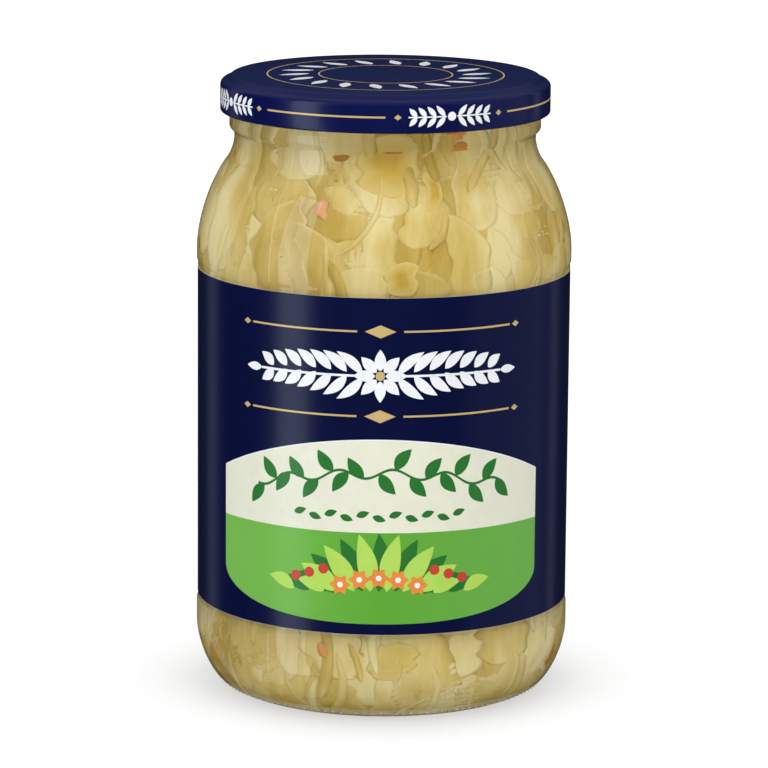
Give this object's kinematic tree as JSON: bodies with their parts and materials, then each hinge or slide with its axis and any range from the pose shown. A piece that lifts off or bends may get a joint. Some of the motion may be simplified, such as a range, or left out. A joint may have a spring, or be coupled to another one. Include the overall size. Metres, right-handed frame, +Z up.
{
  "type": "sauerkraut jar",
  "caption": "Tall clear glass jar packed with shredded sauerkraut and carrot, shut by a steel twist-off lid and wrapped in a plain paper label.",
  "frame": {"origin": "middle of the base, on the plane that the jar stands on", "axes": "+Z up along the jar's axis; the label's front faces -Y and its lap joint is at +Y"},
  "size_m": [0.0988, 0.0988, 0.1633],
  "materials": {
    "clear_glass": "clear, smooth, faint grey-green in its thick base",
    "lacquered_steel": "navy lacquer, semi-gloss, with a thin pale gold line",
    "printed_paper": "satin coated paper, navy with cream and leaf green fields",
    "sauerkraut": "wet, soft, pale straw yellow shreds with bits of carrot"
  },
  "bodies": {
    "root": {"jar_glass": "clear_glass", "lid": "lacquered_steel", "label": "printed_paper", "sauerkraut": "sauerkraut"}
  },
  "joints": []
}
